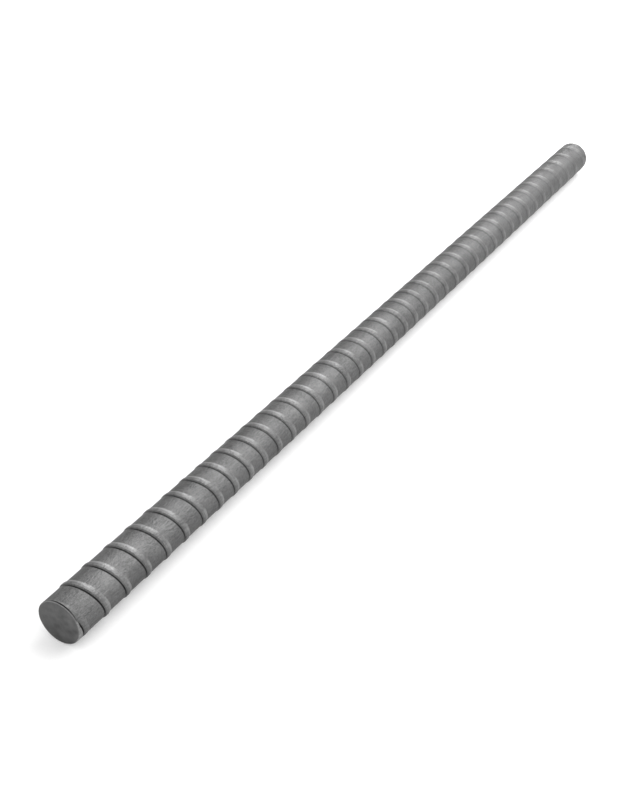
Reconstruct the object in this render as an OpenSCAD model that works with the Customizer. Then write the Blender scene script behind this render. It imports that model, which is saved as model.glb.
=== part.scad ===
// Hot-rolled reinforcing bar, sawn square at both ends and lying along X on a level floor.
// The solid is the bar's round outline over its ribs, which is the size that a sleeve, a drilled
// hole or a stacked neighbour meets. The relief between the ribs is left to the surface finish.

/* [Bar] */
// Length of the bar from one sawn face to the other
bar_length = 600; // [100:10:12000]
// Diameter of the round core between the ribs
core_d = 22.2; // [8:0.1:56]
// Height of a rib above the core
rib_height = 0.5; // [0.3:0.05:3]

/* [Sawn ends] */
// Width of the broken edge round the near end, at -X
near_edge = 0.4; // [0.1:0.1:2]
// Width of the broken edge round the far end, at +X
far_edge = 0.8; // [0.1:0.1:2]

/* [Hidden] */
$fn = 96;

over_ribs_r = core_d / 2 + rib_height;
half_length = bar_length / 2;

// Half of the bar's lengthwise section: radius to the right, place along the bar upwards.
module half_section() {
    polygon([
        [0, -half_length],
        [over_ribs_r - near_edge, -half_length],
        [over_ribs_r, -half_length + near_edge],
        [over_ribs_r, half_length - far_edge],
        [over_ribs_r - far_edge, half_length],
        [0, half_length],
    ]);
}

// The whole bar: rolled in one piece, resting on its ribs at Z = 0.
module rebar() {
    color("dimgray")
        translate([0, 0, over_ribs_r])
            rotate([0, 90, 0])
                rotate_extrude()
                    half_section();
}

rebar();
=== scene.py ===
"""A hot-rolled reinforcing bar: its ribs, its steel, and the stage that it is shown on."""

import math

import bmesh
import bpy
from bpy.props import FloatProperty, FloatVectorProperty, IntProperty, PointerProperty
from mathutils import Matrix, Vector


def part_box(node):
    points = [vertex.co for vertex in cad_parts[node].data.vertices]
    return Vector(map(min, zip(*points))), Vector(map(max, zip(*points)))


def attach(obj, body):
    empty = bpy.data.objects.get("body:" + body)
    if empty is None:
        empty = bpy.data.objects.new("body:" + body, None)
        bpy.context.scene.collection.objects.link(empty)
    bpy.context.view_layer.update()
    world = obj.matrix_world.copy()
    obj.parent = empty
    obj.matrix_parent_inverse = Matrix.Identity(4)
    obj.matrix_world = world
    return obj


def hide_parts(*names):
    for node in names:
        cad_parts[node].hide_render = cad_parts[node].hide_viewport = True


bl_info = {
    "name": "Ribbed Reinforcing Bar",
    "version": (1, 0, 0),
    "blender": (4, 5, 0),
    "location": "3D View > Sidebar > Rebar",
    "description": "Rolls the ribs of a reinforcing bar over its plain solid, and sets its stage",
    "category": "Object",
}

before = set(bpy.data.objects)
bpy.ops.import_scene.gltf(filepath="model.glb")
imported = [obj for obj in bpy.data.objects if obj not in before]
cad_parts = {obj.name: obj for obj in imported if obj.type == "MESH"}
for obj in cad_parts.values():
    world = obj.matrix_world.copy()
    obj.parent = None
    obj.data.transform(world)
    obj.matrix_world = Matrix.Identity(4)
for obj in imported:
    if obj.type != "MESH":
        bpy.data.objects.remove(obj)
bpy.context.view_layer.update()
BAR_LOW, BAR_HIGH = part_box("rebar")

MM = 0.001

# Mesh rows along one rib pitch, foot to foot: the steep flank, the crest, the soft flank, the core and
# the last short step of core before the next foot.
FLANK_ROWS = 6
CREST_ROWS = 3
FALL_ROWS = 6
CORE_ROWS = 3
LEAD_ROWS = 3
CREST_START = FLANK_ROWS
FALL_START = CREST_START + CREST_ROWS
CORE_START = FALL_START + FALL_ROWS
LEAD_START = CORE_START + CORE_ROWS
PITCH_ROWS = LEAD_START + LEAD_ROWS

# Rows up the steep flank over which the painted shade in a rib's foot fades.
FOOT_ROWS = 2

# Rows where a rib's painted glint starts, leaves the crest for the shoulder, is full, and fades into the
# core.
GLINT_START = CREST_START - 2
GLINT_SHOULDER = FALL_START - 0.5
GLINT_FULL = FALL_START + 1
GLINT_FADE = CORE_START - 1

# Cosines of the angle from the glint gap where the gap begins and where it is whole, and the painted glint
# left in it.
GAP_RIM = 0.9
GAP_WHOLE = 0.985
GAP_GLINT = 0.2

# Cosines of the angle from the full turn where the bar's back is whole and where it ends.
BACK_WHOLE = -0.1
BACK_RIM = 0.6

# Waves of a rib's wander and of its wear in the length of one radius.
WANDER_WAVES = 1.7
WEAR_WAVES = 2.9

# Spare pitches rolled past each end, which the saw then takes off.
SPARE_PITCHES = 1

# Where the saw stops the ribs, in widths of the painted shade line under the burr from the broken edge. A
# point nearer to its cut than the tolerance lies on it.
CUT_BURRS = 1.4
CUT_TOLERANCE = 1e-7

# Steps of the rounded edge round a sawn face.
EDGE_STEPS = 3

# Edges sharper than this stay sharp.
SHARP_ANGLE = math.radians(40)

# The skin's grey and its grain are flecks, with these shares of the wider patterns added.
GREY_SHARES = {"streaks": 0.6, "patches": 0.4, "clouds": 0.5}
GRAIN_SHARES = {"streaks": 0.6, "patches": 0.2}

# How far the summed patterns mostly stray from their middle, and how far the grey then strays from its own.
GREY_REACH = 0.3
GREY_SWING = 0.32

# Span in which most values of one noise pattern lie.
NOISE_LOW = 0.3
NOISE_HIGH = 0.7

# Size of a streak over that of a patch, and width of a fleck over its length along the bar.
PATCH_SCALE = 0.35
FLECK_SQUEEZE = 0.6

# Least and most roughness of the skin, and how much of it a full painted glint takes off.
SKIN_ROUGHNESS = (0.34, 0.46)
GLINT_POLISH = 0.05

# Least and most tone and roughness of the sawn faces, and how strongly their marks show.
SAWN_TONE = (0.72, 1.2)
SAWN_ROUGHNESS = (0.42, 0.55)
SAW_MARK_STRENGTH = 0.35

# Width of the camera's sensor in millimetres, and the nearest thing that the camera sees in metres.
SENSOR_WIDTH = 36
NEAREST_SEEN = 0.01


def linear(code):
    """Turn an sRGB hex code such as #808080 into linear red, green and blue."""
    channels = [int(code[place:place + 2], 16) / 255 for place in (1, 3, 5)]
    return [c / 12.92 if c <= 0.04045 else ((c + 0.055) / 1.055) ** 2.4 for c in channels]


class RebarSizes(bpy.types.PropertyGroup):
    """Sizes of the rolled and sawn bar. Places round it count from the top towards -Y."""

    length: FloatProperty(
        name="Length", description="From one sawn face to the other",
        default=BAR_HIGH.x - BAR_LOW.x, unit="LENGTH", precision=4)
    crest_radius: FloatProperty(
        name="Crest radius", description="From the bar's axis to the top of a rib",
        default=min(BAR_HIGH.y - BAR_LOW.y, BAR_HIGH.z - BAR_LOW.z) / 2, unit="LENGTH", precision=5)
    rib_height: FloatProperty(
        name="Rib height", description="From the core to the top of a rib",
        default=0.5 * MM, unit="LENGTH", precision=5)
    rib_pitch: FloatProperty(
        name="Rib pitch", description="From one rib's foot to the next, before drift and beat",
        default=14.83 * MM, unit="LENGTH", precision=5)
    drift: FloatProperty(
        name="Drift", description="How far the ribs drift along the bar as the mill's pull changes",
        default=12.8 * MM, unit="LENGTH", precision=5)
    drift_ribs: FloatProperty(
        name="Drift ribs", description="Ribs in one full swing of the drift", default=88, min=1)
    drift_start: FloatProperty(
        name="Drift start", description="Ribs of that swing that passed before the near end", default=8.4)
    beat: FloatProperty(
        name="Beat", description="How far the ribs shift to and fro in one turn of the forming roll",
        default=1.5 * MM, unit="LENGTH", precision=5)
    beat_ribs: FloatProperty(
        name="Beat ribs", description="Ribs in one turn of the forming roll", default=12, min=1)
    first_foot: FloatProperty(
        name="First foot", description="From the near face to the first rib's foot, before drift and beat",
        default=-8.15 * MM, unit="LENGTH", precision=5)
    rib_slant: FloatProperty(
        name="Rib slant", description="Angle of a rib's plane from square across the bar",
        default=math.radians(17.4), subtype="ANGLE")
    slant_turn: FloatProperty(
        name="Slant turn", description="Place round the bar of a rib's middle",
        default=math.radians(66), subtype="ANGLE")
    flank: FloatProperty(
        name="Steep flank", description="Width of a rib's steep side, which faces the near end",
        default=0.9 * MM, unit="LENGTH", precision=5)
    crest: FloatProperty(
        name="Crest", description="Width of a rib's flat top at the near end",
        default=1.2 * MM, unit="LENGTH", precision=5)
    far_crest: FloatProperty(
        name="Far crest", description="Width of a rib's flat top at the far end",
        default=1.9 * MM, unit="LENGTH", precision=5)
    fall: FloatProperty(
        name="Soft flank", description="Width of a near rib's soft side, which faces the far end",
        default=1.85 * MM, unit="LENGTH", precision=5)
    far_fall: FloatProperty(
        name="Far soft flank", description="Width of the soft side of a rib at the far end",
        default=3.4 * MM, unit="LENGTH", precision=5)
    # Painted shade also covers this lead of core before each foot.
    lead: FloatProperty(
        name="Lead", description="Width of the core in front of a foot that holds packed scale",
        default=0.8 * MM, unit="LENGTH", precision=5)
    spacing_play: FloatProperty(
        name="Spacing play", description="How far a rib may lie from its even place",
        default=0.12 * MM, unit="LENGTH", precision=5)
    wander: FloatProperty(
        name="Wander", description="How far a rib's line wanders along the bar as it goes round",
        default=0.3 * MM, unit="LENGTH", precision=5)
    wear: FloatProperty(
        name="Crest wear", description="How much of a rib's height is worn off at its lowest places",
        default=0.1, subtype="FACTOR", min=0, max=1)
    # This share also scales the painted glint on the first rib.
    first_height: FloatProperty(
        name="First height", description="Share of height and rub left on the rib at the near face",
        default=0.3, subtype="FACTOR", min=0, max=1)
    back_height: FloatProperty(
        name="Back height", description="Share of a rib's height left on the bar's back, once settled",
        default=0.5, subtype="FACTOR", min=0, max=1)
    # Share of the painted shade in the feet kept on the bar's back.
    back_shade: FloatProperty(
        name="Back shade", description="Share of the packed scale left on the bar's back",
        default=0.4, subtype="FACTOR", min=0, max=1)
    full_turn: FloatProperty(
        name="Full turn", description="Place round the bar, opposite its back, where ribs are whole",
        default=math.radians(50), subtype="ANGLE")
    settling: FloatProperty(
        name="Settling", description="Length from the near face over which the ribs on the back sink",
        default=180 * MM, unit="LENGTH", precision=5)
    far_height: FloatProperty(
        name="Far height", description="Share of a rib's height left at the far end",
        default=0.42, subtype="FACTOR", min=0, max=1)
    # Share of the painted shade in the feet kept at the far end.
    far_shade: FloatProperty(
        name="Far shade", description="Share of the packed scale left at the far end",
        default=0.12, subtype="FACTOR", min=0, max=1)
    # Share of the painted rib glint kept at the far end.
    far_glint: FloatProperty(
        name="Far glint", description="Share of the ribs' rub left at the far end",
        default=0.2, subtype="FACTOR", min=0, max=1)
    # Share of the painted glint that a rib's top gets.
    crest_glint: FloatProperty(
        name="Crest glint", description="Share of the shoulder's rub that the top of a rib has",
        default=0.3, subtype="FACTOR", min=0, max=1)
    # Place round the bar where the painted glint is weakest.
    glint_gap: FloatProperty(
        name="Glint gap", description="Place round the bar where the ribs are rubbed least",
        default=math.radians(52), subtype="ANGLE")
    near_edge: FloatProperty(
        name="Near edge", description="Width of the broken edge round the near sawn face",
        default=0.35 * MM, unit="LENGTH", precision=5)
    far_edge: FloatProperty(
        name="Far edge", description="Width of the broken edge round the far sawn face",
        default=0.8 * MM, unit="LENGTH", precision=5)
    # The line under the burr is painted shade, darkest at its turn and fading over its span.
    near_burr_shade: FloatProperty(
        name="Near burr", description="Width of the dark line under the saw's burr at the near rim",
        default=0.48 * MM, unit="LENGTH", precision=5)
    far_burr_shade: FloatProperty(
        name="Far burr", description="Width of that line at the far rim",
        default=0.3 * MM, unit="LENGTH", precision=5)
    burr_shade_turn: FloatProperty(
        name="Burr turn", description="Place round the bar of the darkest part of that line",
        default=math.radians(16), subtype="ANGLE")
    burr_shade_span: FloatProperty(
        name="Burr span", description="Angle to each side over which that line fades out",
        default=math.radians(46), subtype="ANGLE")
    # Share of painted shade laid on the far broken edge.
    far_rim_shade: FloatProperty(
        name="Far rim shade", description="Share of packed scale on the far broken edge",
        default=0.6, subtype="FACTOR", min=0, max=1)
    around: IntProperty(
        name="Columns", description="Mesh columns round the bar", default=96, min=24)
    seed: IntProperty(
        name="Seed", description="Seed of the ribs' uneven places", default=7)


class RebarFinish(bpy.types.PropertyGroup):
    """Colours and grain of the steel."""

    scale_colour: FloatVectorProperty(
        name="Mill scale", description="Grey of the rolled skin",
        default=linear("#656565"), subtype="COLOR", size=3, min=0, max=1)
    # Painted highlight: a paler grey on rib crests and shoulders, where the glints fall.
    painted_glint_colour: FloatVectorProperty(
        name="Painted rib glint", description="Grey of a rib where handling has rubbed it",
        default=linear("#8c8c8c"), subtype="COLOR", size=3, min=0, max=1)
    # Painted shade: a dark grey in the feet of the ribs, under the burr and on the far broken edge.
    crease_shade_colour: FloatVectorProperty(
        name="Painted crease shade", description="Dark scale packed in the foot of a rib and under the burr",
        default=linear("#141414"), subtype="COLOR", size=3, min=0, max=1)
    bare_colour: FloatVectorProperty(
        name="Bare rim", description="Grey of the near rim, where the scale has been knocked off",
        default=linear("#888888"), subtype="COLOR", size=3, min=0, max=1)
    sawn_colour: FloatVectorProperty(
        name="Sawn face", description="Grey of the sawn faces",
        default=linear("#626262"), subtype="COLOR", size=3, min=0, max=1)
    edge_tint: FloatVectorProperty(
        name="Edge tint", description="Tint of the steel's reflections at a low angle",
        default=linear("#c9c9c9"), subtype="COLOR", size=3, min=0, max=1)
    streak_width: FloatProperty(
        name="Streak width", description="Width of a rolling streak, drawn coarse enough to show",
        default=0.55 * MM, unit="LENGTH", precision=5)
    streak_length: FloatProperty(
        name="Streak length", description="Length of a rolling streak along the bar",
        default=2.6 * MM, unit="LENGTH", precision=5)
    fleck_size: FloatProperty(
        name="Fleck size", description="Size of a fleck of loose scale, drawn coarse enough to show",
        default=0.7 * MM, unit="LENGTH", precision=5)
    cloud_size: FloatProperty(
        name="Cloud size", description="Size of the soft clouds in the skin's grey",
        default=16.0 * MM, unit="LENGTH", precision=5)
    grain_height: FloatProperty(
        name="Grain height", description="Height of the skin's grain, drawn strong enough to show",
        default=0.37 * MM, unit="LENGTH", precision=5)
    dull_length: FloatProperty(
        name="Dull length", description="Length of skin at the near face that the saw's heat has dulled",
        default=10 * MM, unit="LENGTH", precision=5)
    dull_rise: FloatProperty(
        name="Dull rise", description="Roughness added at the near face, which fades along that length",
        default=0.25, min=0, max=0.5)
    saw_pitch: FloatProperty(
        name="Saw mark pitch", description="Spacing of the saw's marks, drawn coarse enough to show",
        default=0.9 * MM, unit="LENGTH", precision=5)
    saw_length: FloatProperty(
        name="Saw mark length", description="Length of one of the saw's marks",
        default=12.6 * MM, unit="LENGTH", precision=5)
    saw_turn: FloatProperty(
        name="Saw mark turn", description="Angle of the saw's marks from level",
        default=math.radians(25), subtype="ANGLE")
    saw_depth: FloatProperty(
        name="Saw mark depth", description="Depth of the saw's marks",
        default=0.1 * MM, unit="LENGTH", precision=5)
    stain_size: FloatProperty(
        name="Stain size", description="Size of the faint clouds on the sawn faces",
        default=4.0 * MM, unit="LENGTH", precision=5)


class RebarStage(bpy.types.PropertyGroup):
    """Floor, lamps and camera."""

    floor_size: FloatProperty(
        name="Floor size", description="Side of the square floor", default=12.0, unit="LENGTH")
    floor_colour: FloatVectorProperty(
        name="Floor", description="Pale floor",
        default=linear("#e6e6e6"), subtype="COLOR", size=3, min=0, max=1)
    floor_lift: FloatProperty(
        name="Floor lift", description="White that the floor shows to the camera beside what lights it",
        default=0.21, min=0)
    sky_strength: FloatProperty(
        name="Sky", description="Strength of the even white light from all round", default=1.0, min=0)
    back_radiance: FloatProperty(
        name="Back softbox", description="Brightness of the low softbox behind the far end",
        default=24.0, min=0)
    back_place: FloatVectorProperty(
        name="Back place", description="Middle of the softbox behind the far end",
        default=(6.0, 1.25, 0.5), subtype="TRANSLATION", size=3)
    back_size: FloatVectorProperty(
        name="Back size", description="Width and height of the softbox behind the far end",
        default=(1.5, 0.8), unit="LENGTH", size=2)
    top_radiance: FloatProperty(
        name="Top softbox", description="Brightness of the softbox overhead", default=2.4, min=0)
    top_place: FloatVectorProperty(
        name="Top place", description="Middle of the softbox overhead",
        default=(2.3, -0.83, 1.0), subtype="TRANSLATION", size=3)
    top_size: FloatVectorProperty(
        name="Top size", description="Length and width of the softbox overhead",
        default=(4.4, 2.34), unit="LENGTH", size=2)
    camera_place: FloatVectorProperty(
        name="Camera", description="Place of the camera",
        default=(-0.5951, -0.2976, 0.3836), subtype="TRANSLATION", size=3)
    camera_pitch: FloatProperty(
        name="Camera pitch", description="Angle of the camera below the horizon",
        default=math.radians(32.687), subtype="ANGLE")
    camera_heading: FloatProperty(
        name="Camera heading", description="Direction that the camera looks in, from +X towards +Y",
        default=math.radians(30.651), subtype="ANGLE")
    camera_lens: FloatProperty(
        name="Lens", description="Focal length on a 36 mm wide sensor",
        default=57.83, subtype="DISTANCE_CAMERA")


def add_node(tree, kind, inputs=None, **settings):
    """Add one node with its settings, and fill or link its inputs by name or place."""
    node = tree.nodes.new(kind)
    for name, value in settings.items():
        setattr(node, name, value)
    for key, value in (inputs or {}).items():
        if isinstance(value, bpy.types.NodeSocket):
            tree.links.new(value, node.inputs[key])
        else:
            node.inputs[key].default_value = value
    return node


def new_material(name):
    """A new node material, with its tree and its shader."""
    material = bpy.data.materials.new(name)
    material.use_nodes = True
    tree = material.node_tree
    return material, tree, tree.nodes["Principled BSDF"]


def hot_rolled_steel(finish):
    """Hot-rolled steel under grey mill scale: a satin skin that mirrors soft lights as one streaky band along
    the bar. A painted highlight makes its ribs paler on their shoulders and tops, painted shade darkens their
    feet and the line under the burr, and the near rim is bare, beside skin that the saw has dulled."""
    material, tree, shader = new_material("hot_rolled_steel")
    place = add_node(tree, "ShaderNodeTexCoord").outputs["Object"]
    # Masks of the painted rib glint, of the painted shade, and of the bare rim.
    glint, foot, bare = [
        add_node(tree, "ShaderNodeAttribute", attribute_name=name).outputs["Fac"]
        for name in ("painted_rib_glint", "rib_foot_shade", "rim_bare")]

    # Streaks and patches are drawn out along the bar by the rolls, and flecks a little.
    across = 1 / finish.streak_width
    stretched = add_node(tree, "ShaderNodeMapping", {
        "Vector": place, "Scale": (1 / finish.streak_length, across, across)}).outputs[0]
    drawn = add_node(tree, "ShaderNodeMapping", {
        "Vector": place, "Scale": (FLECK_SQUEEZE, 1, 1)}).outputs[0]
    flecks = add_node(tree, "ShaderNodeTexNoise", {
        "Vector": drawn, "Scale": 1 / finish.fleck_size, "Detail": 2.0, "Roughness": 0.7}).outputs["Fac"]
    patterns = {
        "streaks": add_node(tree, "ShaderNodeTexNoise", {
            "Vector": stretched, "Scale": 1.0, "Detail": 1.0, "Roughness": 0.5}).outputs["Fac"],
        "patches": add_node(tree, "ShaderNodeTexNoise", {
            "Vector": stretched, "Scale": PATCH_SCALE, "Detail": 2.0, "Roughness": 0.6}).outputs["Fac"],
        "clouds": add_node(tree, "ShaderNodeTexNoise", {
            "Vector": place, "Scale": 1 / finish.cloud_size, "Detail": 2.0, "Roughness": 0.5}).outputs["Fac"],
    }
    sums = []
    for shares in (GREY_SHARES, GRAIN_SHARES):
        total = flecks
        for name, share in shares.items():
            total = add_node(tree, "ShaderNodeMath", {
                0: patterns[name], 1: share, 2: total}, operation="MULTIPLY_ADD").outputs[0]
        sums.append(total)
    mottle, grain = sums

    # Grey: the painted rib glint, then the painted shade in the feet and along the rims, then the bare rim,
    # with the mottle over all.
    middle = (1 + sum(GREY_SHARES.values())) / 2
    tone = add_node(tree, "ShaderNodeMapRange", {
        "Value": mottle, "From Min": middle - GREY_REACH, "From Max": middle + GREY_REACH,
        "To Min": 1 - GREY_SWING, "To Max": 1 + GREY_SWING}).outputs[0]
    skin = (*finish.scale_colour, 1)
    coats = ((glint, finish.painted_glint_colour), (foot, finish.crease_shade_colour), (bare, finish.bare_colour))
    for share, colour in coats:
        skin = add_node(tree, "ShaderNodeMix", {
            0: share, 6: skin, 7: (*colour, 1)}, data_type="RGBA").outputs[2]
    skin = add_node(tree, "ShaderNodeVectorMath", {0: skin, "Scale": tone}, operation="SCALE").outputs[0]
    tree.links.new(skin, shader.inputs["Base Color"])

    # Roughness: satin, a little smoother under the painted glint, and duller beside the near face.
    rough = add_node(tree, "ShaderNodeMapRange", {
        "Value": flecks, "From Min": NOISE_LOW, "From Max": NOISE_HIGH,
        "To Min": SKIN_ROUGHNESS[0], "To Max": SKIN_ROUGHNESS[1]}).outputs[0]
    rough = add_node(tree, "ShaderNodeMath", {
        0: glint, 1: -GLINT_POLISH, 2: rough}, operation="MULTIPLY_ADD").outputs[0]
    along = add_node(tree, "ShaderNodeSeparateXYZ", {0: place}).outputs["X"]
    dull = add_node(tree, "ShaderNodeMapRange", {
        "Value": along, "From Min": BAR_LOW.x, "From Max": BAR_LOW.x + finish.dull_length,
        "To Min": finish.dull_rise, "To Max": 0.0}).outputs[0]
    rough = add_node(tree, "ShaderNodeMath", {0: rough, 1: dull}, operation="ADD").outputs[0]
    tree.links.new(rough, shader.inputs["Roughness"])

    bump = add_node(tree, "ShaderNodeBump", {
        "Height": grain, "Strength": 1.0, "Distance": finish.grain_height}).outputs[0]
    tree.links.new(bump, shader.inputs["Normal"])
    shader.inputs["Metallic"].default_value = 1.0
    shader.inputs["Specular Tint"].default_value = (*finish.edge_tint, 1)
    return material


def sawn_steel(finish):
    """Steel cut by a band saw: flatter and darker than the skin, with straight marks and faint clouds."""
    material, tree, shader = new_material("sawn_steel")
    place = add_node(tree, "ShaderNodeTexCoord").outputs["Object"]
    across = 1 / finish.saw_pitch
    turned = add_node(tree, "ShaderNodeMapping", {
        "Vector": place, "Rotation": (finish.saw_turn, 0, 0),
        "Scale": (across, 1 / finish.saw_length, across)}).outputs[0]
    marks = add_node(tree, "ShaderNodeTexNoise", {
        "Vector": turned, "Scale": 1.0, "Detail": 2.0}).outputs["Fac"]
    clouds = add_node(tree, "ShaderNodeTexNoise", {
        "Vector": place, "Scale": 1 / finish.stain_size, "Detail": 3.0}).outputs["Fac"]
    tone, rough = [
        add_node(tree, "ShaderNodeMapRange", {
            "Value": clouds, "From Min": NOISE_LOW, "From Max": NOISE_HIGH,
            "To Min": least, "To Max": most}).outputs[0]
        for least, most in (SAWN_TONE, SAWN_ROUGHNESS)]
    skin = add_node(tree, "ShaderNodeVectorMath", {0: finish.sawn_colour, "Scale": tone}, operation="SCALE")
    tree.links.new(skin.outputs[0], shader.inputs["Base Color"])
    tree.links.new(rough, shader.inputs["Roughness"])
    bump = add_node(tree, "ShaderNodeBump", {
        "Height": marks, "Strength": SAW_MARK_STRENGTH, "Distance": finish.saw_depth}).outputs[0]
    tree.links.new(bump, shader.inputs["Normal"])
    shader.inputs["Metallic"].default_value = 1.0
    shader.inputs["Specular Tint"].default_value = (*finish.edge_tint, 1)
    return material


def seen_ray(tree):
    """One for a ray of the camera, of a mirror or of glass, and zero for the rays that light a surface."""
    path = add_node(tree, "ShaderNodeLightPath")
    straight = add_node(tree, "ShaderNodeMath", {
        0: path.outputs["Is Camera Ray"], 1: path.outputs["Is Glossy Ray"]}, operation="ADD").outputs[0]
    return add_node(tree, "ShaderNodeMath", {
        0: straight, 1: path.outputs["Is Transmission Ray"]}, operation="ADD", use_clamp=True).outputs[0]


def pale_floor(stage):
    """Matt white studio floor: it takes the bar's shadow, and shows to the camera as white."""
    material, tree, shader = new_material("pale_floor")
    tree.nodes.remove(shader)
    matt = add_node(tree, "ShaderNodeBsdfDiffuse", {"Color": (*stage.floor_colour, 1)}).outputs[0]
    lift = add_node(tree, "ShaderNodeMath", {0: seen_ray(tree), 1: stage.floor_lift}, operation="MULTIPLY")
    glow = add_node(tree, "ShaderNodeEmission", {"Strength": lift.outputs[0]}).outputs[0]
    both = add_node(tree, "ShaderNodeAddShader", {0: matt, 1: glow}).outputs[0]
    tree.links.new(both, tree.nodes["Material Output"].inputs["Surface"])
    return material


def white_sky(stage):
    """Even white surroundings."""
    world = bpy.data.worlds.new("white_sky")
    world.use_nodes = True
    background = world.node_tree.nodes["Background"]
    background.inputs["Color"].default_value = (1, 1, 1, 1)
    background.inputs["Strength"].default_value = stage.sky_strength
    return world


def rib_foot_place(tree, values, number):
    """Place along the bar of one numbered rib's foot, with that rib's own play."""
    play = add_node(tree, "FunctionNodeRandomValue", {
        2: -1.0, 3: 1.0, "ID": number, "Seed": values["Seed"]}, data_type="FLOAT").outputs[1]
    place = add_node(tree, "ShaderNodeMath", {
        0: number, 1: values["Rib Pitch"], 2: values["First Foot"]}, operation="MULTIPLY_ADD").outputs[0]
    place = add_node(tree, "ShaderNodeMath", {
        0: play, 1: values["Spacing Play"], 2: place}, operation="MULTIPLY_ADD").outputs[0]
    passed = add_node(tree, "ShaderNodeMath", {
        0: number, 1: values["Drift Start"]}, operation="ADD").outputs[0]
    for count, ribs, reach in ((passed, "Drift Ribs", "Drift"), (number, "Beat Ribs", "Beat")):
        turn = add_node(tree, "ShaderNodeMath", {0: count, 1: values[ribs]}, operation="DIVIDE").outputs[0]
        turn = add_node(tree, "ShaderNodeMath", {0: turn, 1: math.tau}, operation="MULTIPLY").outputs[0]
        swing = add_node(tree, "ShaderNodeMath", {0: turn}, operation="COSINE").outputs[0]
        place = add_node(tree, "ShaderNodeMath", {
            0: swing, 1: values[reach], 2: place}, operation="MULTIPLY_ADD").outputs[0]
    return place


def row_place(tree, values, number, step):
    """Place along the bar of a step in one numbered rib's pitch, before the rib leans."""
    following = add_node(tree, "ShaderNodeMath", {0: number, 1: 1.0}, operation="ADD").outputs[0]
    start = rib_foot_place(tree, values, number)
    end = rib_foot_place(tree, values, following)

    # Ribs grow wider along the bar, and the core takes what the rib and its lead leave of this pitch.
    crest, fall = [
        add_node(tree, "ShaderNodeMapRange", {
            "Value": start, "From Min": values["Near Face"], "From Max": values["Far Face"],
            "To Min": values[name], "To Max": values["Far " + name]}).outputs[0]
        for name in ("Crest", "Soft Flank")]
    core = add_node(tree, "ShaderNodeMath", {0: end, 1: start}, operation="SUBTRACT").outputs[0]
    for width in (values["Steep Flank"], crest, fall, values["Lead"]):
        core = add_node(tree, "ShaderNodeMath", {0: core, 1: width}, operation="SUBTRACT").outputs[0]
    stretches = (
        (0, CREST_START, values["Steep Flank"]),
        (CREST_START, FALL_START, crest),
        (FALL_START, CORE_START, fall),
        (CORE_START, LEAD_START, core),
        (LEAD_START, PITCH_ROWS, values["Lead"]),
    )
    along = start
    for first, last, width in stretches:
        share = add_node(tree, "ShaderNodeMapRange", {
            "Value": step, "From Min": first, "From Max": last}).outputs[0]
        along = add_node(tree, "ShaderNodeMath", {
            0: share, 1: width, 2: along}, operation="MULTIPLY_ADD").outputs[0]
    return along


def lean_and_wander(tree, values, turn, ring, along):
    """The place along the bar once the rib leans in its plane and its line wanders a little."""
    lean = add_node(tree, "ShaderNodeMath", {
        0: turn, 1: values["Slant Turn"]}, operation="SUBTRACT").outputs[0]
    lean = add_node(tree, "ShaderNodeMath", {0: lean}, operation="SINE").outputs[0]
    along = add_node(tree, "ShaderNodeMath", {
        0: lean, 1: values["Slant Reach"], 2: along}, operation="MULTIPLY_ADD").outputs[0]
    stray = add_node(tree, "ShaderNodeTexNoise", {
        "Vector": ring, "Scale": WANDER_WAVES, "Detail": 1.0}).outputs["Fac"]
    stray = add_node(tree, "ShaderNodeMath", {0: stray, 1: 0.5}, operation="SUBTRACT").outputs[0]
    return add_node(tree, "ShaderNodeMath", {
        0: stray, 1: values["Wander"], 2: along}, operation="MULTIPLY_ADD").outputs[0]


def rib_rise(tree, step):
    """Height over the core as a share of a whole rib: up the steep flank, and down the soft one."""
    climb = add_node(tree, "ShaderNodeMapRange", {
        "Value": step, "From Min": 0, "From Max": CREST_START}, interpolation_type="SMOOTHSTEP").outputs[0]
    drop = add_node(tree, "ShaderNodeMapRange", {
        "Value": step, "From Min": FALL_START, "From Max": CORE_START},
        interpolation_type="SMOOTHERSTEP").outputs[0]
    return add_node(tree, "ShaderNodeMath", {0: climb, 1: drop}, operation="SUBTRACT").outputs[0]


def painted_rib_glint(tree, values, step, turn):
    """Share of painted highlight on a rib: some on its crest, most on the shoulder past it, and little in the
    glint gap.
    """
    glint = add_node(tree, "ShaderNodeMapRange", {
        "Value": step, "From Min": GLINT_START, "From Max": CREST_START,
        "To Max": values["Crest Glint"]}).outputs[0]
    glint = add_node(tree, "ShaderNodeMapRange", {
        "Value": step, "From Min": GLINT_SHOULDER, "From Max": GLINT_FULL, "To Min": glint}).outputs[0]
    unrubbed = add_node(tree, "ShaderNodeMapRange", {
        "Value": step, "From Min": GLINT_FADE, "From Max": CORE_START}).outputs[0]
    glint = add_node(tree, "ShaderNodeMath", {0: glint, 1: unrubbed}, operation="SUBTRACT").outputs[0]
    gap = add_node(tree, "ShaderNodeMath", {0: turn, 1: values["Glint Gap"]}, operation="SUBTRACT").outputs[0]
    gap = add_node(tree, "ShaderNodeMath", {0: gap}, operation="COSINE").outputs[0]
    share = add_node(tree, "ShaderNodeMapRange", {
        "Value": gap, "From Min": GAP_RIM, "From Max": GAP_WHOLE,
        "To Min": 1.0, "To Max": GAP_GLINT}).outputs[0]
    return add_node(tree, "ShaderNodeMath", {0: glint, 1: share}, operation="MULTIPLY").outputs[0]


def foot_shade_share(tree, step):
    """How much painted shade a row has: all in a rib's lead and foot, and none up its flank."""
    foot = add_node(tree, "ShaderNodeMapRange", {
        "Value": step, "From Min": 0, "From Max": FOOT_ROWS, "To Min": 1.0, "To Max": 0.0}).outputs[0]
    packed = add_node(tree, "ShaderNodeMapRange", {
        "Value": step, "From Min": LEAD_START, "From Max": LEAD_START + 1}).outputs[0]
    return add_node(tree, "ShaderNodeMath", {0: foot, 1: packed}, operation="MAXIMUM").outputs[0]


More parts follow.
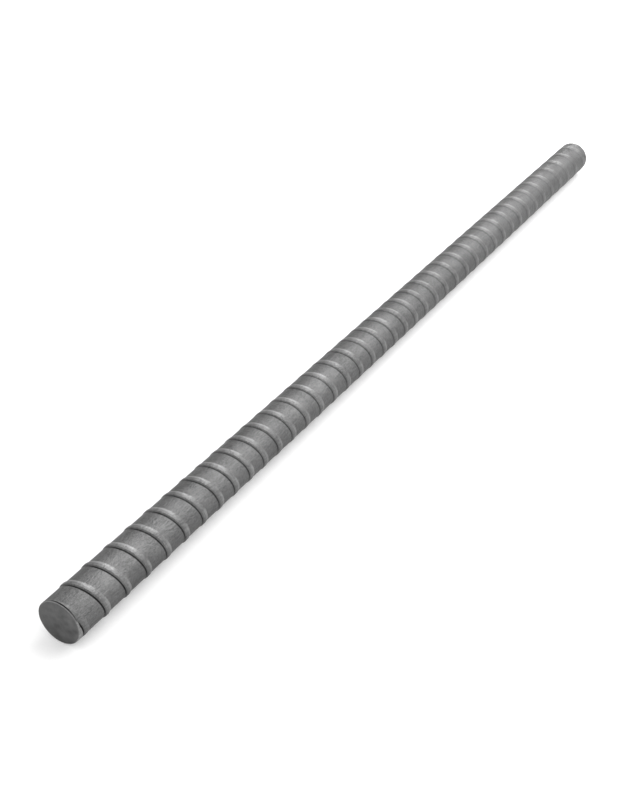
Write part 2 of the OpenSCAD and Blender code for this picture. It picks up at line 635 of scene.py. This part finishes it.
def ribbed_bar_tree(choices):
    """Nodes that roll an open ribbed tube, with an input for each named choice: rows of a plain tube slide
    along to the ribs' slanted rings, and lie at the rib's height there."""
    tree = bpy.data.node_groups.new("Ribbed bar", "GeometryNodeTree")
    kinds = {float: "NodeSocketFloat", int: "NodeSocketInt", bpy.types.Material: "NodeSocketMaterial"}
    for name, value in choices.items():
        tree.interface.new_socket(name, in_out="INPUT", socket_type=kinds[type(value)])
    tree.interface.new_socket("Geometry", in_out="OUTPUT", socket_type="NodeSocketGeometry")
    values = add_node(tree, "NodeGroupInput").outputs

    # A tube of unit rows: its height counts rows, and its width is one.
    rows = add_node(tree, "ShaderNodeMath", {
        0: values["Pitches"], 1: PITCH_ROWS}, operation="MULTIPLY").outputs[0]
    tube = add_node(tree, "GeometryNodeMeshCylinder", {
        "Vertices": values["Columns"], "Side Segments": rows, "Radius": 1.0, "Depth": rows}, fill_type="NONE")
    spot = add_node(tree, "ShaderNodeSeparateXYZ", {
        0: add_node(tree, "GeometryNodeInputPosition").outputs[0]}).outputs
    raised = add_node(tree, "ShaderNodeMath", {
        0: rows, 1: 0.5, 2: spot["Z"]}, operation="MULTIPLY_ADD").outputs[0]
    row = add_node(tree, "ShaderNodeMath", {0: raised}, operation="ROUND").outputs[0]
    turn = add_node(tree, "ShaderNodeMath", {0: spot["Y"], 1: spot["X"]}, operation="ARCTAN2").outputs[0]

    # Which rib a row belongs to, and its step within that rib's pitch.
    count = add_node(tree, "ShaderNodeMath", {0: row, 1: PITCH_ROWS}, operation="DIVIDE").outputs[0]
    whole = add_node(tree, "ShaderNodeMath", {0: count}, operation="FLOOR").outputs[0]
    step = add_node(tree, "ShaderNodeMath", {
        0: whole, 1: -PITCH_ROWS, 2: row}, operation="MULTIPLY_ADD").outputs[0]
    number = add_node(tree, "ShaderNodeMath", {0: whole, 1: SPARE_PITCHES}, operation="SUBTRACT").outputs[0]
    ring = add_node(tree, "ShaderNodeCombineXYZ", {0: spot["X"], 1: spot["Y"], 2: number}).outputs[0]
    along = row_place(tree, values, number, step)
    along = lean_and_wander(tree, values, turn, ring, along)
    glint = painted_rib_glint(tree, values, step, turn)
    # Painted shade in a rib's lead and foot.
    foot = foot_shade_share(tree, step)

    # The crest is worn, and the saw left little of the first rib.
    worn = add_node(tree, "ShaderNodeTexNoise", {
        "Vector": ring, "Scale": WEAR_WAVES, "Detail": 0.0}).outputs["Fac"]
    worn = add_node(tree, "ShaderNodeMath", {
        0: worn, 1: values["Crest Wear"]}, operation="MULTIPLY").outputs[0]
    kept = add_node(tree, "ShaderNodeMath", {0: 1.0, 1: worn}, operation="SUBTRACT").outputs[0]
    spared = add_node(tree, "ShaderNodeMapRange", {
        "Value": number, "To Min": values["First Height"], "To Max": 1.0}).outputs[0]

    # On the back the ribs sink as they settle, and their feet get less painted shade.
    sunk = add_node(tree, "ShaderNodeMapRange", {
        "Value": along, "From Min": values["Near Face"], "From Max": values["Settled"],
        "To Min": 1.0, "To Max": values["Back Height"]}).outputs[0]
    side = add_node(tree, "ShaderNodeMath", {
        0: turn, 1: values["Full Turn"]}, operation="SUBTRACT").outputs[0]
    side = add_node(tree, "ShaderNodeMath", {0: side}, operation="COSINE").outputs[0]
    upright, shade_on_back = [
        add_node(tree, "ShaderNodeMapRange", {
            "Value": side, "From Min": BACK_WHOLE, "From Max": BACK_RIM,
            "To Min": share, "To Max": 1.0}).outputs[0]
        for share in (sunk, values["Back Shade"])]

    # Towards the far end the ribs grow flatter, with less painted shade and less painted glint.
    flatter, shade_left_far, glint_left_far = [
        add_node(tree, "ShaderNodeMapRange", {
            "Value": along, "From Min": values["Near Face"], "From Max": values["Far Face"],
            "To Min": 1.0, "To Max": values[name]}).outputs[0]
        for name in ("Far Height", "Far Shade", "Far Glint")]
    for share in (spared, upright, flatter):
        kept = add_node(tree, "ShaderNodeMath", {0: kept, 1: share}, operation="MULTIPLY").outputs[0]
    for share in (shade_on_back, shade_left_far):
        foot = add_node(tree, "ShaderNodeMath", {0: foot, 1: share}, operation="MULTIPLY").outputs[0]
    for share in (spared, glint_left_far):
        glint = add_node(tree, "ShaderNodeMath", {0: glint, 1: share}, operation="MULTIPLY").outputs[0]

    # The skin before the first rib's foot is bare.
    bare = add_node(tree, "ShaderNodeMath", {0: number, 1: 0.0}, operation="LESS_THAN").outputs[0]
    bare = add_node(tree, "ShaderNodeMath", {
        0: bare, 1: foot}, operation="SUBTRACT", use_clamp=True).outputs[0]

    # The tube's X is up on the bar, and its Y is towards -Y.
    height = add_node(tree, "ShaderNodeMath", {
        0: rib_rise(tree, step), 1: values["Rib Height"]}, operation="MULTIPLY").outputs[0]
    radius = add_node(tree, "ShaderNodeMath", {
        0: height, 1: kept, 2: values["Core Radius"]}, operation="MULTIPLY_ADD").outputs[0]
    up = add_node(tree, "ShaderNodeMath", {
        0: spot["X"], 1: radius, 2: values["Axis Height"]}, operation="MULTIPLY_ADD").outputs[0]
    out = add_node(tree, "ShaderNodeMath", {0: spot["Y"], 1: radius}, operation="MULTIPLY").outputs[0]
    out = add_node(tree, "ShaderNodeMath", {0: out, 1: -1.0}, operation="MULTIPLY").outputs[0]
    rolled = add_node(tree, "ShaderNodeCombineXYZ", {0: along, 1: out, 2: up}).outputs[0]

    # Values of the plain tube are kept on its points before they move.
    made = tube.outputs["Mesh"]
    for name, value in (("painted_rib_glint", glint), ("rib_foot_shade", foot), ("rim_bare", bare)):
        made = add_node(tree, "GeometryNodeStoreNamedAttribute", {
            "Geometry": made, "Name": name, "Value": value}, data_type="FLOAT", domain="POINT").outputs[0]
    made = add_node(tree, "GeometryNodeSetPosition", {"Geometry": made, "Position": rolled}).outputs[0]
    made = add_node(tree, "GeometryNodeSetShadeSmooth", {"Geometry": made}).outputs[0]
    made = add_node(tree, "GeometryNodeRealizeInstances", {"Geometry": made}).outputs[0]
    made = add_node(tree, "GeometryNodeSetMaterial", {
        "Geometry": made, "Material": values["Steel"]}).outputs[0]
    add_node(tree, "NodeGroupOutput", {"Geometry": made})
    return tree


def roll_tube(sizes, steel):
    """The ribbed tube as a plain mesh, a spare pitch longer than the bar at both ends."""
    core_radius = sizes.crest_radius - sizes.rib_height
    choices = {
        "Core Radius": core_radius,
        "Rib Height": sizes.rib_height,
        "Rib Pitch": sizes.rib_pitch,
        "First Foot": BAR_LOW.x + sizes.first_foot,
        "Slant Reach": core_radius * math.tan(sizes.rib_slant),
        "Slant Turn": sizes.slant_turn,
        "Steep Flank": sizes.flank,
        "Crest": sizes.crest,
        "Far Crest": sizes.far_crest,
        "Soft Flank": sizes.fall,
        "Far Soft Flank": sizes.far_fall,
        "Lead": sizes.lead,
        "Drift": sizes.drift,
        "Drift Ribs": sizes.drift_ribs,
        "Drift Start": sizes.drift_start,
        "Beat": -sizes.beat,
        "Beat Ribs": sizes.beat_ribs,
        "Spacing Play": sizes.spacing_play,
        "Wander": sizes.wander,
        "Crest Wear": sizes.wear,
        "Axis Height": sizes.crest_radius,
        "Near Face": BAR_LOW.x,
        "Far Face": BAR_LOW.x + sizes.length,
        "First Height": sizes.first_height,
        "Back Height": sizes.back_height,
        "Back Shade": sizes.back_shade,
        "Full Turn": sizes.full_turn,
        "Settled": BAR_LOW.x + sizes.settling,
        "Far Height": sizes.far_height,
        "Far Shade": sizes.far_shade,
        "Far Glint": sizes.far_glint,
        "Crest Glint": sizes.crest_glint,
        "Glint Gap": sizes.glint_gap,
        "Columns": sizes.around,
        "Pitches": math.ceil(sizes.length / sizes.rib_pitch) + 2 * SPARE_PITCHES + 1,
        "Seed": sizes.seed,
        "Steel": steel,
    }
    tree = ribbed_bar_tree(choices)
    bar = bpy.data.objects.new("rebar_ribbed", bpy.data.meshes.new("rebar_ribbed"))
    bpy.context.scene.collection.objects.link(bar)
    modifier = bar.modifiers.new("Ribs", "NODES")
    modifier.node_group = tree
    for item in tree.interface.items_tree:
        if item.in_out == "INPUT":
            modifier[item.identifier] = choices[item.name]
    depsgraph = bpy.context.evaluated_depsgraph_get()
    rolled = bpy.data.meshes.new_from_object(
        bar.evaluated_get(depsgraph), preserve_all_data_layers=True, depsgraph=depsgraph)
    bar.modifiers.remove(modifier)
    bar.data = rolled
    if not rolled.polygons:
        raise RuntimeError("the ribbed tube came out empty")
    rolled.materials.clear()
    rolled.materials.append(steel)
    rolled.polygons.foreach_set("material_index", [0] * len(rolled.polygons))
    return bar


def draw_out(shape, rim):
    """Draw a rim of edges out into a new ring, and give back its points and its edges."""
    drawn = bmesh.ops.extrude_edge_only(shape, edges=rim)["geom"]
    points = {item for item in drawn if isinstance(item, bmesh.types.BMVert)}
    edges = [item for item in drawn if isinstance(item, bmesh.types.BMEdge) and points.issuperset(item.verts)]
    return points, edges


def saw_end(shape, sizes, face_x, outward, edge, burr, marks):
    """Saw the tube square at face_x, round its edge over with the given marks, and close it flat."""
    axis_z = sizes.crest_radius
    foot = shape.verts.layers.float["rib_foot_shade"]
    bare = shape.verts.layers.float["rim_bare"]
    everything = shape.verts[:] + shape.edges[:] + shape.faces[:]
    cut = bmesh.ops.bisect_plane(
        shape, geom=everything, dist=CUT_TOLERANCE, plane_no=(outward, 0, 0), clear_outer=True,
        plane_co=(face_x - outward * (edge + CUT_BURRS * burr), 0, 0))
    rim = [item for item in cut["geom_cut"] if isinstance(item, bmesh.types.BMEdge)]
    if not rim:
        raise RuntimeError("the saw missed the bar")

    # Along the burr a painted shade line is laid, darkest at its turn; the foot shade that the saw cut there
    # turns bare.
    points, rim = draw_out(shape, rim)
    for point in points:
        point.co.x = face_x - outward * (edge + burr)
        angle = math.atan2(-point.co.y, point.co.z - axis_z)
        off = math.remainder(angle - sizes.burr_shade_turn, math.tau) / sizes.burr_shade_span
        shade = max(0.0, 1 - off ** 2)
        point[bare] = max(point[bare], point[foot]) * (1 - shade)
        point[foot] = shade
    points, rim = draw_out(shape, rim)
    for point in points:
        point.co.x = face_x - outward * edge

    # The broken edge, a quarter round in steps.
    bend_before = 0.0
    for number in range(1, EDGE_STEPS + 1):
        bend = math.radians(90) * number / EDGE_STEPS
        inward = edge * (math.cos(bend_before) - math.cos(bend))
        points, rim = draw_out(shape, rim)
        for point in points:
            spoke = Vector((0, point.co.y, point.co.z - axis_z))
            spoke = spoke.normalized() * (spoke.length - inward)
            point.co = (face_x - outward * edge * (1 - math.sin(bend)), spoke.y, axis_z + spoke.z)
            for name, value in marks.items():
                point[shape.verts.layers.float[name]] = value
        bend_before = bend
    closed = bmesh.ops.edgeloop_fill(shape, edges=rim)["faces"]
    for face in bmesh.ops.triangulate(shape, faces=closed)["faces"]:
        face.material_index = 1
        face.smooth = False


class REBAR_OT_roll_bar(bpy.types.Operator):
    """Roll the ribbed bar over its plain solid and saw its ends"""

    bl_idname = "rebar.roll_bar"
    bl_label = "Roll Bar"

    def execute(self, context):
        sizes = context.scene.rebar_sizes
        finish = context.scene.rebar_finish
        bar = roll_tube(sizes, hot_rolled_steel(finish))
        bar.data.materials.append(sawn_steel(finish))
        near_x = BAR_LOW.x
        far_x = BAR_LOW.x + sizes.length
        shape = bmesh.new()
        shape.from_mesh(bar.data)
        saw_end(shape, sizes, near_x, -1, sizes.near_edge, sizes.near_burr_shade, {"rim_bare": 1.0})
        # The far broken edge gets painted shade.
        saw_end(shape, sizes, far_x, 1, sizes.far_edge, sizes.far_burr_shade, {"rib_foot_shade": sizes.far_rim_shade})
        bmesh.ops.recalc_face_normals(shape, faces=shape.faces[:])
        shape.to_mesh(bar.data)
        shape.free()
        bar.data.set_sharp_from_angle(angle=SHARP_ANGLE)
        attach(bar, "root")
        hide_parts("rebar")
        return {"FINISHED"}


def add_softbox(name, place, turn, size, radiance):
    """A softbox that faces down before it is turned, with its lamp's power worked out from its brightness."""
    width, height = size
    lamp = bpy.data.lights.new(name, "AREA")
    lamp.shape = "RECTANGLE"
    lamp.size = width
    lamp.size_y = height
    lamp.energy = radiance * math.pi * width * height
    box = bpy.data.objects.new(name, lamp)
    box.location = place
    box.rotation_euler = turn
    bpy.context.scene.collection.objects.link(box)


class REBAR_OT_set_stage(bpy.types.Operator):
    """Set the floor, the lamps and the camera"""

    bl_idname = "rebar.set_stage"
    bl_label = "Set Stage"

    def execute(self, context):
        scene = context.scene
        stage = scene.rebar_stage
        half = stage.floor_size / 2
        sheet = bpy.data.meshes.new("floor")
        corners = [(-half, -half, 0), (half, -half, 0), (half, half, 0), (-half, half, 0)]
        sheet.from_pydata(corners, [], [(0, 1, 2, 3)])
        sheet.materials.append(pale_floor(stage))
        floor = bpy.data.objects.new("floor", sheet)
        scene.collection.objects.link(floor)

        scene.world = white_sky(stage)
        quarter = math.radians(90)
        to_near_end = (quarter, 0, quarter)
        down = (0, 0, 0)
        add_softbox("back_softbox", stage.back_place, to_near_end, stage.back_size, stage.back_radiance)
        add_softbox("top_softbox", stage.top_place, down, stage.top_size, stage.top_radiance)

        lens = bpy.data.cameras.new("camera")
        lens.sensor_width = SENSOR_WIDTH
        lens.lens = stage.camera_lens
        lens.clip_start = NEAREST_SEEN
        camera = bpy.data.objects.new("camera", lens)
        camera.location = stage.camera_place
        camera.rotation_euler = (quarter - stage.camera_pitch, 0, stage.camera_heading - quarter)
        scene.collection.objects.link(camera)
        scene.camera = camera
        scene.view_settings.view_transform = "Standard"
        return {"FINISHED"}


class REBAR_PT_sidebar(bpy.types.Panel):
    """Bar, finish and stage in the 3D view's sidebar"""

    bl_idname = "REBAR_PT_sidebar"
    bl_label = "Reinforcing Bar"
    bl_space_type = "VIEW_3D"
    bl_region_type = "UI"
    bl_category = "Rebar"

    def draw(self, context):
        layout = self.layout
        for operator in (REBAR_OT_roll_bar, REBAR_OT_set_stage):
            layout.operator(operator.bl_idname)
        for group in (context.scene.rebar_sizes, context.scene.rebar_finish, context.scene.rebar_stage):
            box = layout.box()
            for name in group.__annotations__:
                box.prop(group, name)


CLASSES = (RebarSizes, RebarFinish, RebarStage, REBAR_OT_roll_bar, REBAR_OT_set_stage, REBAR_PT_sidebar)


def register():
    """Register the classes and put their settings on the scene."""
    for cls in CLASSES:
        bpy.utils.register_class(cls)
    bpy.types.Scene.rebar_sizes = PointerProperty(type=RebarSizes)
    bpy.types.Scene.rebar_finish = PointerProperty(type=RebarFinish)
    bpy.types.Scene.rebar_stage = PointerProperty(type=RebarStage)


def unregister():
    """Take the settings off the scene and the classes out again."""
    del bpy.types.Scene.rebar_stage
    del bpy.types.Scene.rebar_finish
    del bpy.types.Scene.rebar_sizes
    for cls in reversed(CLASSES):
        bpy.utils.unregister_class(cls)


def main():
    """Build the bar and its stage."""
    register()
    bpy.ops.rebar.roll_bar()
    bpy.ops.rebar.set_stage()


if __name__ == "__main__":
    main()
